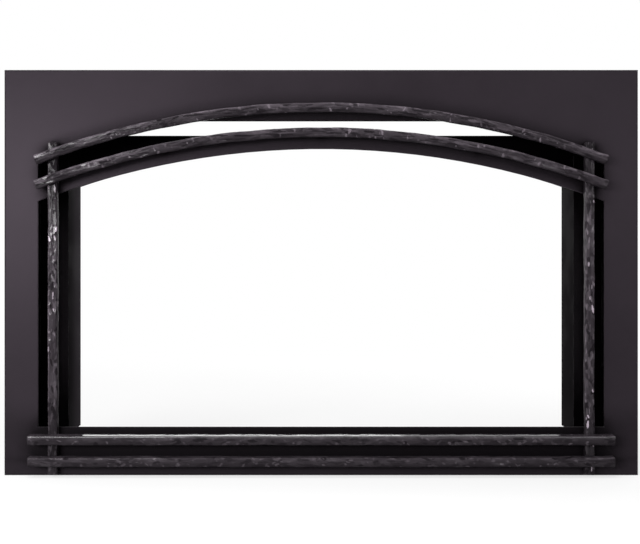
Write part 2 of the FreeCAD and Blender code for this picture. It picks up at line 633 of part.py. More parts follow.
through = [place for place in CROSSINGS if not behind_slot(place)]
in_slot = [place for place in CROSSINGS if behind_slot(place)]
nodes.append(group("crossing_studs", rail_stud, [(x, rail_stud_start, z) for x, z in through]))
nodes.append(group("upper_arch_studs", slot_stud, [(x, rail_stud_start, z) for x, z in in_slot]))
nodes.append(group("post_top_studs", post_stud, [(x, post_stud_start, z) for x, z in POST_TOPS]))
nodes.append(group("standoff_studs", rail_stud, [(x, rail_stud_start, z) for x, z in STANDOFFS]))
nodes.append(group("standoffs", standoff, [(x, POST_FRONT, z) for x, z in STANDOFFS]))
seats = [(x, PANEL_BACK, z) for x, z in through + POST_TOPS + STANDOFFS]
seats += [(x, PANEL_FRONT, z) for x, z in in_slot]
nodes.append(group("stud_washers", washer, seats))
nodes.append(group("stud_nuts", nut, [(x, f"({y} + dims.washer_sheet)", z) for x, y, z in seats]))

# Hanger pins, turned along the side to side axis
neck_end = "(dims.panel_sheet + dims.pin_shoulder + 2 * dims.side_clearance + dims.bracket_sheet)"
hanger_pin = turned(
    "hanger_pin",
    ("dims.pin_tail", "0", "dims.panel_sheet"),
    ("dims.pin_head", "dims.panel_sheet", "dims.panel_sheet + dims.pin_shoulder"),
    ("dims.pin_neck", "dims.panel_sheet + dims.pin_shoulder", neck_end),
    ("dims.pin_head", neck_end, f"{neck_end} + dims.pin_cap"),
)
for name, side in SIDES:
    pin_places = [(signed(side, HALF_PANEL), PIN_Y, height) for height in PIN_HEIGHTS]
    nodes.append(group(f"{name}_hanger_pins", hanger_pin, pin_places, FreeCAD.Vector(-side, 0, 0)))

# Rivets run from their head at the front through both sheets to the set end at the rear
frame_grip = "(dims.rivet_crown + 2 * dims.frame_sheet)"
frame_rivet = turned(
    "frame_rivet",
    ("dims.rivet_head", "0", "dims.rivet_crown"),
    ("dims.rivet_diameter", "dims.rivet_crown", frame_grip),
    ("dims.rivet_tail", frame_grip, f"{frame_grip} + dims.rivet_set"),
)
bracket_grip = "(dims.rivet_crown + dims.bracket_sheet + dims.frame_sheet)"
bracket_rivet = turned(
    "bracket_rivet",
    ("dims.rivet_head", "0", "dims.rivet_crown"),
    ("dims.rivet_diameter", "dims.rivet_crown", bracket_grip),
    ("dims.rivet_tail", bracket_grip, f"{bracket_grip} + dims.rivet_set"),
)
nodes.append(group("frame_rivets", frame_rivet, [(x, "-dims.rivet_crown", z) for x, z in FRAME_RIVETS]))
bracket_head = "(-dims.bracket_sheet - dims.rivet_crown)"
nodes.append(group("bracket_rivets", bracket_rivet, [(x, bracket_head, z) for x, z in BRACKET_RIVETS]))

doc.recompute()
for item in doc.Objects:
    if "Invalid" in item.State or "Error" in item.State:
        raise RuntimeError(f"{item.Label}: {item.State}")
os.makedirs("parts", exist_ok=True)
for node in nodes:
    if node.Shape.isNull() or not node.Shape.isValid() or not node.Shape.Solids:
        raise RuntimeError(f"{node.Label}: no valid solid")
    node.Shape.exportStep(f"parts/{node.Label}.step")
    box = node.Shape.BoundBox
    print(f"{node.Label}: {len(node.Shape.Solids)} solids, x {box.XMin:.1f} {box.XMax:.1f}, "
          f"y {box.YMin:.1f} {box.YMax:.1f}, z {box.ZMin:.1f} {box.ZMax:.1f}")
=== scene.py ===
"""Looks of the fireplace insert front: hammered bars, finishes, light and camera."""
import logging
import math
from abc import ABC, abstractmethod
from dataclasses import dataclass, replace
from enum import Enum

import bpy
import numpy as np
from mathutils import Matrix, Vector


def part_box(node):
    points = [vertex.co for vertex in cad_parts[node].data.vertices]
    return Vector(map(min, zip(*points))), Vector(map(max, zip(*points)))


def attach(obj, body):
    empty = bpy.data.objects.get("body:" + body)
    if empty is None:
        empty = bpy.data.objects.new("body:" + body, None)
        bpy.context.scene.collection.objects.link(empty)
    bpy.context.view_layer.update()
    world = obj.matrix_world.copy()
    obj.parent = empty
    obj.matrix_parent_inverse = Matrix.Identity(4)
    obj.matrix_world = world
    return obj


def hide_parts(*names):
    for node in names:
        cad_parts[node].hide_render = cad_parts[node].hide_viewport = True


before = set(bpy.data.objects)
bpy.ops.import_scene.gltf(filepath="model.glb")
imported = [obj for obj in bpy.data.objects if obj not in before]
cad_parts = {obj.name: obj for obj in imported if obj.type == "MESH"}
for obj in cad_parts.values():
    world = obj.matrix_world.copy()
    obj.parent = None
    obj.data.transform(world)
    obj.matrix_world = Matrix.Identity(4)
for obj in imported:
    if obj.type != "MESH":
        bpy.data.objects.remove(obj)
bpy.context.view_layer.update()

LACQUER = "lacquer_cover"
RUBBED_AND_LIT = "rubbed_and_lit_share"
ARCH_RADIUS = 1.267
WELD_DIGITS = 6
WHITE = (1.0, 1.0, 1.0)
FORWARD = np.array([0.0, -1.0, 0.0])
UPWARD = np.array([0.0, 0.0, 1.0])

Array = np.ndarray
Arrays = tuple[Array, Array]
Tones = tuple[Array, ...]
Pair = tuple[float, float]
Colour = tuple[float, float, float]
Place = tuple[float, float, float]
Faces = list[list[int]]
Node = bpy.types.Node
Socket = bpy.types.NodeSocket
Sockets = bpy.types.NodeOutputs

log = logging.getLogger("insert_front")


class Slot(Enum):
    """Material slots of the record that new pieces take."""

    BAR = "forged_bar"
    FRAME = "frame_black"
    PLATED = "plated_steel"


class Rider(Enum):
    """Bodies that new pieces ride on."""

    FACE = "face"
    FRAME = "insert_frame"


class NodeSheet:
    """Small helper that places and links the nodes of one material or node group."""

    def __init__(self, tree: bpy.types.NodeTree) -> None:
        """Start on a node tree, emptied."""
        self.tree = tree
        self.tree.nodes.clear()

    def feed(self, socket: Socket, value: object) -> None:
        """Link an output to a socket, or set the socket's own value.

        Args:
            socket: input socket.
            value: output socket, number or colour.
        """
        if isinstance(value, Socket):
            self.tree.links.new(value, socket)
        elif socket.type == "RGBA":
            socket.default_value = (*value, 1.0)
        else:
            socket.default_value = value

    def feed_in_order(self, node: Node, *values: object) -> None:
        """Feed the sockets of a node from the first one on."""
        for socket, value in zip(node.inputs, values):
            self.feed(socket, value)

    def fill(self, node: Node, **inputs: object) -> None:
        """Feed some sockets of a node by their names, with spaces in names as underscores."""
        for name, value in inputs.items():
            self.feed(node.inputs[name.replace("_", " ")], value)

    def add(self, kind: str, settings: dict[str, object] | None = None, **inputs: object) -> Node:
        """Place one node.

        Args:
            kind: Blender's node type.
            settings: properties of the node itself.
            inputs: what its sockets are fed.

        Returns:
            The new node.
        """
        node = self.tree.nodes.new(kind)
        for name, value in (settings or {}).items():
            setattr(node, name, value)
        self.fill(node, **inputs)
        return node

    def math(self, operation: str, *values: object, kind: str = "ShaderNodeMath") -> Socket:
        """Place a node that works out a number.

        Args:
            operation: Blender's name of the operation.
            values: numbers or output sockets.
            kind: Blender's node type, for numbers or for vectors.

        Returns:
            The result's socket.
        """
        node = self.add(kind, {"operation": operation})
        self.feed_in_order(node, *values)
        return node.outputs["Value"]

    def times(self, first: object, second: object) -> Socket:
        """Multiply two numbers."""
        return self.math("MULTIPLY", first, second)

    def position(self) -> Socket:
        """Give the Object coordinates."""
        return self.add("ShaderNodeTexCoord").outputs["Object"]

    def normal(self) -> Socket:
        """Give the surface's own normal."""
        return self.add("ShaderNodeNewGeometry").outputs["Normal"]

    def parts(self, vector: Socket) -> Sockets:
        """Split a vector into X, Y and Z."""
        return self.add("ShaderNodeSeparateXYZ", Vector=vector).outputs

    def attribute(self, name: str) -> Socket:
        """Give the number that is written on the mesh under a name."""
        return self.add("ShaderNodeAttribute", {"attribute_name": name}).outputs["Fac"]

    def noise(self, scale: object, detail: float, roughness: float = 0.5) -> Socket:
        """Place smooth noise on Object coordinates, with finer waves on top."""
        node = self.add("ShaderNodeTexNoise", Vector=self.position(), Scale=scale, Detail=detail,
                        Roughness=roughness)
        return node.outputs["Fac"]

    def blend(self, share: object, low: object, high: object, capped: bool = True) -> Socket:
        """Mix two colours.

        Args:
            share: how much of the second colour shows.
            low: first colour.
            high: second colour.
            capped: whether a share above one counts as one, or goes on past the second colour.

        Returns:
            The mixed colour's socket.
        """
        node = self.add("ShaderNodeMix", {"data_type": "RGBA", "clamp_factor": capped}, Factor=share)
        colours = [socket for socket in node.inputs if socket.type == "RGBA"]
        self.feed(colours[0], low)
        self.feed(colours[1], high)
        return next(socket for socket in node.outputs if socket.type == "RGBA")

    def spread(self, value: object, low: object, high: object, to_low: object = 0.0,
               to_high: object = 1.0) -> Socket:
        """Carry one range of numbers over to another, smoothly and clamped.

        Args:
            value: number to carry over.
            low: start of its range.
            high: end of its range.
            to_low: result at the start.
            to_high: result at the end.

        Returns:
            The result's socket.
        """
        node = self.add("ShaderNodeMapRange", {"interpolation_type": "SMOOTHSTEP"}, Value=value,
                        From_Min=low, From_Max=high, To_Min=to_low, To_Max=to_high)
        return node.outputs["Result"]


class Effect(ABC):
    """Shader node group that several finishes share, built once."""

    name: str
    inputs: dict[str, float]
    output: str
    built: dict[str, bpy.types.NodeTree] = {}

    @classmethod
    def tree(cls) -> bpy.types.NodeTree:
        """Give the group's node tree, and build it at the first call.

        Returns:
            The shared node tree.
        """
        if cls.name not in Effect.built:
            group = bpy.data.node_groups.new(cls.name, "ShaderNodeTree")
            for name, number in cls.inputs.items():
                socket = group.interface.new_socket(name, in_out="INPUT", socket_type="NodeSocketFloat")
                socket.default_value = number
            group.interface.new_socket(cls.output, in_out="OUTPUT", socket_type="NodeSocketFloat")
            sheet = NodeSheet(group)
            drawn = cls.draw(sheet, sheet.add("NodeGroupInput").outputs)
            sheet.add("NodeGroupOutput", **{cls.output: drawn})
            Effect.built[cls.name] = group
        return Effect.built[cls.name]

    @classmethod
    @abstractmethod
    def draw(cls, sheet: NodeSheet, given: Sockets) -> Socket:
        """Lay out the group's nodes.

        Args:
            sheet: helper on the group's tree.
            given: the group's input sockets.

        Returns:
            What the group gives out.
        """

    @classmethod
    def place(cls, sheet: NodeSheet, **values: object) -> Socket:
        """Put the effect into a material with its own inputs, and give its output."""
        return sheet.add("ShaderNodeGroup", {"node_tree": cls.tree()}, **values).outputs[cls.output]


class Cloud(Effect):
    """Soft uneven patches: smooth noise, stretched to the full range."""

    name = "uneven_patches"
    inputs = {"Scale": 10.0, "Low": 0.35, "High": 0.65}
    output = "Mask"
    detail = 4.0
    roughness = 0.55

    @classmethod
    def draw(cls, sheet: NodeSheet, given: Sockets) -> Socket:
        """Noise of the given scale, spread between Low and High."""
        noise = sheet.noise(given["Scale"], cls.detail, cls.roughness)
        return sheet.spread(noise, given["Low"], given["High"])


class Grain(Effect):
    """Fine surface grain: rounded cells blended with noise, as a height."""

    name = "fine_grain"
    inputs = {"Scale": 800.0, "Pits": 0.5}
    output = "Height"
    noise_share = 0.5
    detail = 3.0

    @classmethod
    def draw(cls, sheet: NodeSheet, given: Sockets) -> Socket:
        """Cell distance weighted by Pits, plus noise at a share of its scale."""
        cells = sheet.add("ShaderNodeTexVoronoi", {"feature": "SMOOTH_F1"}, Vector=sheet.position(),
                          Scale=given["Scale"])
        noise = sheet.noise(sheet.times(given["Scale"], cls.noise_share), cls.detail)
        return sheet.math("ADD", sheet.times(cells.outputs["Distance"], given["Pits"]), noise)


class WornEdge(Effect):
    """Rubbed edges: where the rounded normal leaves the face's own, broken up by noise."""

    name = "worn_edges"
    inputs = {"Reach": 0.0015, "Scale": 60.0}
    output = "Mask"
    samples = 6
    bend = (0.99, 0.86)
    detail = 5.0
    patches = (0.38, 0.62)

    @classmethod
    def draw(cls, sheet: NodeSheet, given: Sockets) -> Socket:
        """Fall of the two normals' product below one, times patchy noise."""
        rounded = sheet.add("ShaderNodeBevel", {"samples": cls.samples}, Radius=given["Reach"])
        turn = sheet.math("DOT_PRODUCT", rounded.outputs["Normal"], sheet.normal(),
                          kind="ShaderNodeVectorMath")
        patchy = sheet.spread(sheet.noise(given["Scale"], cls.detail), *cls.patches)
        return sheet.times(sheet.spread(turn, *cls.bend), patchy)


class NookShade(Effect):
    """Painted shade in nooks, where other surfaces stand close."""

    name = "painted_shade_in_nooks"
    inputs = {"Reach": 0.035, "Open": 0.95, "Closed": 0.5}
    output = "Mask"
    samples = 8

    @classmethod
    def draw(cls, sheet: NodeSheet, given: Sockets) -> Socket:
        """Open share of the surroundings within reach, spread between Open and Closed."""
        nook = sheet.add("ShaderNodeAmbientOcclusion", {"samples": cls.samples}, Distance=given["Reach"])
        return sheet.spread(nook.outputs["AO"], given["Open"], given["Closed"])


class Dust(Effect):
    """Thin dust on faces that look up, thicker in patches."""

    name = "settled_dust"
    inputs = {"Amount": 0.3, "Scale": 25.0}
    output = "Mask"
    slope = (0.5, 0.95)
    detail = 6.0
    patches = (0.3, 0.7)
    thinnest = 0.2

    @classmethod
    def draw(cls, sheet: NodeSheet, given: Sockets) -> Socket:
        """Upward share of the normal, times noise and the amount."""
        upward = sheet.spread(sheet.parts(sheet.normal())["Z"], *cls.slope)
        patchy = sheet.spread(sheet.noise(given["Scale"], cls.detail), *cls.patches, cls.thinnest)
        return sheet.times(sheet.times(upward, patchy), given["Amount"])


@dataclass(frozen=True)
class Finish(ABC):
    """A finish that turns into one material, with a fine grain on its surface."""

    name: str
    grain_scale: float
    grain_pits: float
    grain_height: float

    def material(self) -> bpy.types.Material:
        """Give the finish's material, and build it at the first call.

        Returns:
            The material.
        """
        found = bpy.data.materials.get(self.name)
        if found:
            return found
        made = bpy.data.materials.new(self.name)
        made.use_nodes = True
        sheet = NodeSheet(made.node_tree)
        shader = sheet.add("ShaderNodeBsdfPrincipled")
        self.draw(sheet, shader)
        grain = Grain.place(sheet, Scale=self.grain_scale, Pits=self.grain_pits)
        bump = sheet.add("ShaderNodeBump", Height=grain, Strength=1.0, Distance=self.grain_height)
        sheet.fill(shader, Normal=bump.outputs["Normal"])
        sheet.add("ShaderNodeOutputMaterial", Surface=shader.outputs["BSDF"])
        return made

    @abstractmethod
    def draw(self, sheet: NodeSheet, shader: Node) -> None:
        """Lay out the nodes that feed the shader.

        Args:
            sheet: helper on the material's tree.
            shader: the material's Principled shader.
        """


@dataclass(frozen=True)
class Paint(Finish):
    """Sprayed paint on sheet steel, from satin to dead flat."""

    grain_scale: float = 900.0
    grain_pits: float = 0.4
    grain_height: float = 0.00004
    tone: Colour = (0.0112, 0.009, 0.0112)
    tone_far: Colour = (0.013, 0.0105, 0.013)
    patch_scale: float = 6.0
    # Painted shade: a near-black tone laid in nooks where other surfaces stand close, less at the very
    # bottom.
    painted_shade: Colour = (0.0005, 0.0004, 0.0005)
    nook_reach: float = 0.035
    nook_closed: float = 0.5
    bottom_shade_fade: tuple[float, float, float] = (0.002, 0.024, 0.3)
    # Painted shade in a band low down, around the rails and the gap between them.
    low_shade_rise: Pair = (0.012, 0.03)
    low_shade_fall: Pair = (0.075, 0.125)
    low_shade_closed: float = 0.8
    low_shade_share: float = 0.35
    # Painted light: a lighter tone deeper back.
    depth_light: float = 0.0
    depth_light_tone: Colour = (0.0175, 0.0147, 0.0175)
    depth_light_range: Pair = (0.01, 0.075)
    # Painted shade and light on faces that look sideways: dark at the front, lighter deeper back.
    sideways_light_share: float = 0.0
    sideways_shade_to_light_tones: tuple[Colour, Colour] = ((0.002, 0.0017, 0.002), (0.021, 0.0176, 0.021))
    worn: Colour = (0.07, 0.063, 0.07)
    worn_scale: float = 70.0
    wear: float = 0.5
    dust: Colour = (0.2, 0.19, 0.19)
    dust_amount: float = 0.1
    roughness: Pair = (0.34, 0.38)
    # Roughness where the painted shade in nooks lies.
    nook_roughness: float = 0.62
    gloss: float = 0.05
    tint: Colour = (1.0, 0.84, 1.0)

    def draw(self, sheet: NodeSheet, shader: Node) -> None:
        """Two close tones in patches, painted shade in a band low down and in nooks, painted light deeper
        back and on sideways faces, worn edges and dust.
        """
        patches = Cloud.place(sheet, Scale=self.patch_scale)
        place = sheet.parts(sheet.position())
        low_shade = sheet.times(sheet.spread(place["Z"], *self.low_shade_rise),
                           sheet.spread(place["Z"], *self.low_shade_fall, 1.0, 0.0))
        closed = sheet.spread(low_shade, 0.0, 1.0, self.nook_closed, self.low_shade_closed)
        nooks = NookShade.place(sheet, Reach=self.nook_reach, Closed=closed)
        painted_shade = sheet.times(nooks, sheet.spread(place["Z"], *self.bottom_shade_fade))
        depth = sheet.spread(place["Y"], *self.depth_light_range)
        sideways = sheet.math("ABSOLUTE", sheet.parts(sheet.normal())["X"])
        edges = WornEdge.place(sheet, Scale=self.worn_scale)
        # Layers of painted shade, in the low band and in nooks, and of painted light, deeper back and on
        # sideways faces, then worn edges and dust.
        layers = (
            (sheet.times(low_shade, self.low_shade_share), self.painted_shade),
            (painted_shade, self.painted_shade),
            (sheet.times(depth, self.depth_light), self.depth_light_tone),
            (sheet.times(sideways, self.sideways_light_share), sheet.blend(depth, *self.sideways_shade_to_light_tones)),
            (sheet.times(edges, self.wear), self.worn),
            (Dust.place(sheet, Amount=self.dust_amount), self.dust),
        )
        tone = sheet.blend(patches, self.tone, self.tone_far)
        for share, layer in layers:
            tone = sheet.blend(share, tone, layer)
        satin = sheet.spread(patches, 0.0, 1.0, *self.roughness)
        sheet.fill(shader, Base_Color=tone, Specular_IOR_Level=self.gloss, Specular_Tint=self.tint,
                   Roughness=sheet.spread(painted_shade, 0.0, 1.0, satin, self.nook_roughness))


@dataclass(frozen=True)
class ForgedBlack(Finish):
    """Dark forged steel with pitted scale; its tone follows a share on the bar's points that holds wear and
    painted light, and its lacquer follows the cover there.
    """

    grain_scale: float = 420.0
    grain_pits: float = 0.8
    grain_height: float = 0.00012
    tone: Colour = (0.0062, 0.0051, 0.0062)
    # Tone where the share of wear and painted light is one; shares past one reach beyond it as painted
    # glints.
    rubbed_and_lit: Colour = (0.085, 0.072, 0.084)
    worn: Colour = (0.05, 0.043, 0.049)
    worn_scale: float = 160.0
    roughness: Pair = (0.4, 0.55)
    gloss: float = 0.004
    lacquer_roughness: float = 0.1

    def draw(self, sheet: NodeSheet, shader: Node) -> None:
        """Dark and worn facets with painted highlights and shade, lighter worn edges and uneven lacquer."""
        # The share on the points brings wear together with painted highlights, painted shade and painted
        # glints.
        rubbed_and_lit = sheet.attribute(RUBBED_AND_LIT)
        tone = sheet.blend(rubbed_and_lit, self.tone, self.rubbed_and_lit, capped=False)
        edges = WornEdge.place(sheet, Scale=self.worn_scale)
        sheet.fill(shader, Base_Color=sheet.blend(edges, tone, self.worn), Specular_IOR_Level=self.gloss,
                   Roughness=sheet.spread(rubbed_and_lit, 0.0, 1.0, *self.roughness),
                   Coat_Weight=sheet.attribute(LACQUER), Coat_Roughness=self.lacquer_roughness)


@dataclass(frozen=True)
class ZincPlate(Finish):
    """Bright zinc plating with cloudy patches."""

    grain_scale: float = 1800.0
    grain_pits: float = 0.3
    grain_height: float = 0.00002
    tone: Colour = (0.52, 0.53, 0.52)
    tone_far: Colour = (0.38, 0.39, 0.37)
    patch_scale: float = 260.0
    patch_range: Pair = (0.3, 0.7)
    roughness: Pair = (0.26, 0.44)

    def draw(self, sheet: NodeSheet, shader: Node) -> None:
        """Metal in two patchy tones."""
        low, high = self.patch_range
        patches = Cloud.place(sheet, Scale=self.patch_scale, Low=low, High=high)
        sheet.fill(shader, Base_Color=sheet.blend(patches, self.tone, self.tone_far), Metallic=1.0,
                   Roughness=sheet.spread(patches, 0.0, 1.0, *self.roughness))


PANEL_PAINT = Paint("satin_charcoal")
# Its tones are darker than real black paint, so part of the shade in the recesses is painted in.
FRAME_PAINT = Paint("stove_black", tone=(0.013, 0.0113, 0.013), tone_far=(0.017, 0.0149, 0.017),
                    worn=(0.03, 0.027, 0.03), dust=(0.05, 0.048, 0.046), roughness=(0.62, 0.78),
                    nook_reach=0.14, nook_closed=0.6, bottom_shade_fade=(0.0, 0.001, 1.0), gloss=0.003,
                    patch_scale=12.0, grain_scale=1300.0, wear=0.6, dust_amount=0.06, depth_light=1.0)
# Lit and shaded copies of the stove black for the two jambs: on sideways faces painted shade at the front
# turns to painted light deeper back, and the shaded copy stays dark throughout.
LIT_REVEAL_PAINT = replace(FRAME_PAINT, name="stove_black_lit_reveal", depth_light_range=(0.0, 0.07), sideways_light_share=1.0)
SHADED_REVEAL_PAINT = replace(LIT_REVEAL_PAINT, name="stove_black_shaded_reveal",
                      sideways_shade_to_light_tones=((0.0026, 0.0022, 0.0026), (0.0046, 0.0039, 0.0046)))
BAR_BLACK = ForgedBlack("forged_gloss_black")
# Shaded copy of the bar finish for the rails: a dimmer bright tone, so their wear and painted light come out
# darker.
RAIL_BLACK = ForgedBlack("forged_gloss_black_shaded", rubbed_and_lit=(0.0435, 0.0368, 0.043))
ZINC = ZincPlate("zinc_plate")


class NewPiece:
    """A new piece that stands for one CAD node."""

    node: str
    finish: Finish
    slot: Slot
    rider: Rider

    def put(self, kind: str, points: Array, faces: Faces, crease: float | None = None) -> bpy.types.Mesh:
        """Make the piece at the origin from points in the row frame, and report it.

        Args:
            kind: ending of the piece's name.
            points: vertices, one row each, in metres.
            faces: vertex numbers of each face, counter-clockwise from outside.
            crease: angle past which an edge stays sharp, or none.

        Returns:
            The piece's mesh.
        """
        name = f"{self.node}_{kind}"
        mesh = bpy.data.meshes.new(name)
        mesh.from_pydata(points.tolist(), [], faces)
        mesh.shade_smooth()
        if crease is not None:
            mesh.set_sharp_from_angle(angle=crease)
        mesh.materials.append(self.finish.material())
        piece = bpy.data.objects.new(name, mesh)
        bpy.context.scene.collection.objects.link(piece)
        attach(piece, self.rider.value)
        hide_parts(self.node)
        log.info("%s: %d faces", name, len(faces))
        return mesh


def grid_faces(rows: int, columns: int, closed: bool = False, ahead: int = 0) -> Faces:
    """Faces between rings of points that follow each other.

    Vertex numbers run ring by ring. In a closed outline the last ring meets the first. Otherwise a
    fan at each end meets a pole, and the two poles' numbers come last.

    Args:
        rows: number of rings.
        columns: points around one ring.
        closed: whether the outline closes on itself.
        ahead: number of vertices that come before the first ring.

    Returns:
        Quads of the wall, and triangles of both fans.
    """
    ring = np.arange(columns)
    after = (ring + 1) % columns
    start = np.arange(rows)[:, None] * columns
    follow = np.roll(start, -1, axis=0)
    wall = ahead + np.stack([start + ring, start + after, follow + after, follow + ring], axis=-1)
    if closed:
        return wall.reshape(-1, 4).tolist()
    first, end = rows * columns, (rows - 1) * columns
    near = ahead + np.stack([np.full(columns, first), after, ring], axis=-1)
    far = ahead + np.stack([np.full(columns, first + 1), end + ring, end + after], axis=-1)
    return wall[:-1].reshape(-1, 4).tolist() + near.tolist() + far.tolist()


@dataclass(frozen=True)
class Blows:
    """One kind of hammer mark: how many, how large, how deep, how far off line, and the tone between."""

    per_metre: float
    half_length: Pair
    half_width: Pair
    depth: Pair
    lean: float
    plain: float = 0.5

    def press(self, along: Array, around: Array, length: float, turn: float, seed: int) -> Arrays:
        """Draw the marks of one bar at random and press them into a grid on its surface.

        Each mark leaves a shallow dish: its depth times one minus the squared distances from its
        middle, along and across its own direction. The deepest dish counts at every point, so
        neighbouring dishes meet in a crease, and it gives the point its tone.

        Args:
            along: distance along the bar at each grid point.
            around: distance around the section at each grid point.
            length: length of the bar.
            turn: distance of one full turn around the section.
            seed: start of the random draw.

        Returns:
            Inset and tone at each grid point.
        """
        draw = np.random.default_rng(seed)
        count = int(self.per_metre * length)
        ranges = ((0.0, length), (0.0, turn), self.half_length, self.half_width, self.depth,
                  (-self.lean, self.lean), (0.0, 1.0))
        marks = zip(*[draw.uniform(*limits, count) for limits in ranges])
        deepest = np.zeros_like(along)
        facet = np.full_like(along, self.plain)
        for place, side, long, wide, depth, lean, tone in marks:
            near = np.abs(along[:, 0] - place) < max(long, wide)
            step = along[near] - place
            across = (around[near] - side + turn / 2.0) % turn - turn / 2.0
            forward = step * math.cos(lean) + across * math.sin(lean)
            sideways = across * math.cos(lean) - step * math.sin(lean)
            dish = depth * (1.0 - (forward / long) ** 2 - (sideways / wide) ** 2)
            facet[near] = np.where(dish > deepest[near], tone, facet[near])
            deepest[near] = np.maximum(deepest[near], dish)
        return deepest, facet


LONG_FLATS = Blows(150.0, (0.012, 0.035), (0.003, 0.007), (0.0001, 0.0004), 0.12)
PEEN_MARKS = Blows(1000.0, (0.003, 0.011), (0.0014, 0.0034), (0.0001, 0.00048), 0.35)
DRAW_MARKS = Blows(1100.0, (0.006, 0.022), (0.001, 0.0024), (0.00005, 0.00025), 0.1)
NICKS = Blows(170.0, (0.0006, 0.002), (0.0008, 0.0045), (0.0001, 0.0004), 0.5, 0.0)
FLECKS = Blows(420.0, (0.001, 0.0045), (0.0007, 0.0022), (0.0001, 0.0004), 0.9, 0.0)
STREAKS = Blows(440.0, (0.002, 0.0065), (0.0007, 0.0016), (0.0001, 0.0004), 0.3, 0.0)


def facing(share: Array, gain: float = 1.6, start: float = 0.5) -> Array:
    """Mask of the faces that look one way: their share of it times a gain, less a start, clipped."""
    return np.clip(share * gain - start, 0.0, 1.0)


